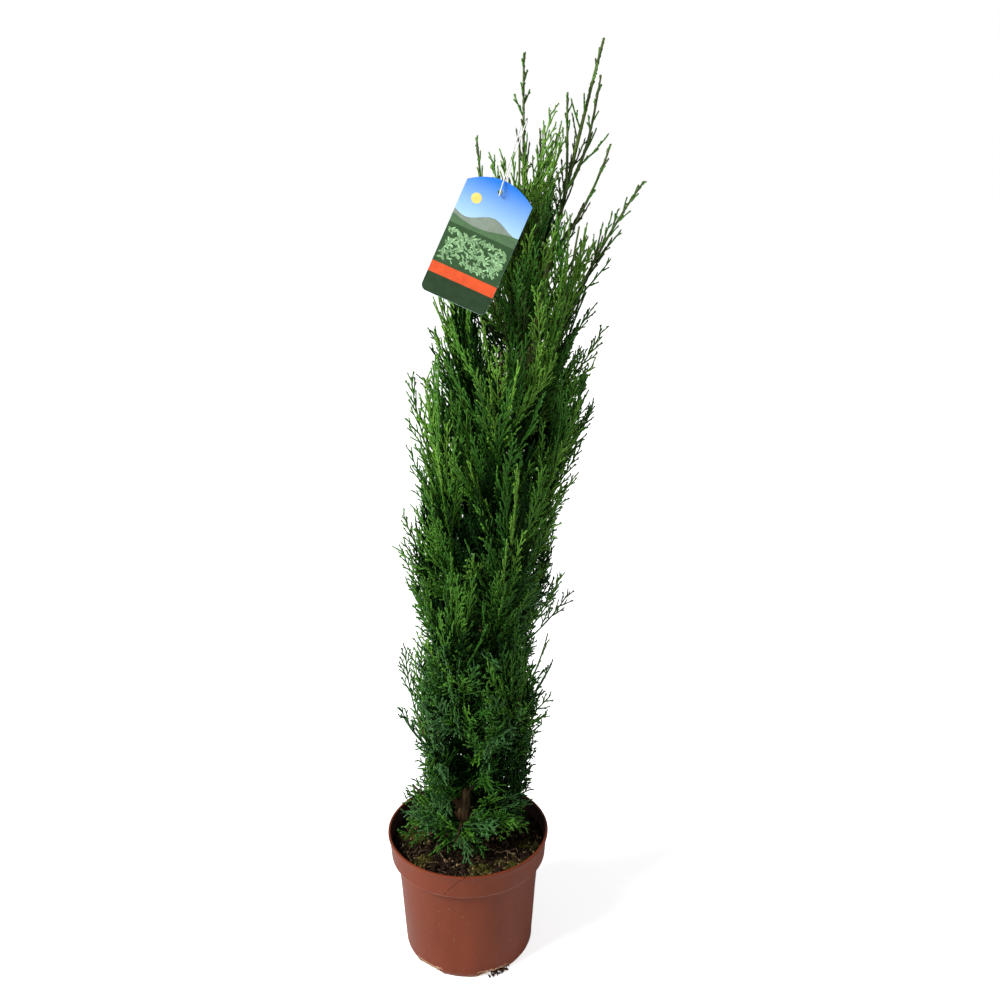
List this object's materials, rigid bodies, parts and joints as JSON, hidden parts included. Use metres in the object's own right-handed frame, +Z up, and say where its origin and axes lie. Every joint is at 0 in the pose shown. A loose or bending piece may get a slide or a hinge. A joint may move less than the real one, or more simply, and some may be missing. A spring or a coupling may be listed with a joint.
{
  "type": "potted italian cypress tree",
  "caption": "Young columnar cypress with ascending feathery boughs, standing in a round plastic nursery pot with a hang tag.",
  "frame": {"origin": "centre of the flat underside of the pot, on the ground", "axes": "+Z up along the pot's axis, +X to the side the leader leans to, -Y to the side where the hang tag hangs"},
  "size_m": [0.2887, 0.19, 1.017],
  "materials": {
    "pot_plastic": "satin terracotta-coloured plastic",
    "peat": "moist dark peat with moss",
    "bark": "fissured grey-brown bark",
    "young_bark": "smooth red-brown to olive young bark",
    "foliage": "green scale leaves",
    "tag_card": "printed plastic card",
    "elastic": "white elastic thread"
  },
  "bodies": {
    "root": {"bough_01": "young_bark", "bough_02": "young_bark", "bough_03": "young_bark", "bough_04": "young_bark", "bough_05": "young_bark", "bough_06": "young_bark", "bough_07": "young_bark", "bough_08": "young_bark", "bough_09": "young_bark", "bough_10": "young_bark", "bough_11": "young_bark", "bough_12": "young_bark", "bough_13": "young_bark", "bough_14": "young_bark", "bough_15": "young_bark", "bough_16": "young_bark", "bough_17": "young_bark", "hang_tag": "tag_card", "left_leader_bough": "young_bark", "left_leader_mass": "foliage", "mass_01": "foliage", "mass_02": "foliage", "mass_03": "foliage", "mass_04": "foliage", "mass_05": "foliage", "mass_06": "foliage", "mass_07": "foliage", "mass_08": "foliage", "mass_09": "foliage", "mass_10": "foliage", "mass_11": "foliage", "mass_12": "foliage", "mass_13": "foliage", "mass_14": "foliage", "mass_15": "foliage", "mass_16": "foliage", "mass_17": "foliage", "pot": "pot_plastic", "right_leader_bough": "young_bark", "right_leader_mass": "foliage", "second_leader_bough": "young_bark", "second_leader_mass": "foliage", "skirt_back_bough": "young_bark", "skirt_back_mass": "foliage", "skirt_front_bough": "young_bark", "skirt_front_mass": "foliage", "skirt_left_bough": "young_bark", "skirt_left_mass": "foliage", "skirt_right_bough": "young_bark", "skirt_right_mass": "foliage", "soil": "peat", "tag_loop": "elastic", "tip_back_mass": "foliage", "tip_front_mass": "foliage", "tip_left_mass": "foliage", "tip_right_mass": "foliage", "trunk": "bark"}
  },
  "joints": []
}
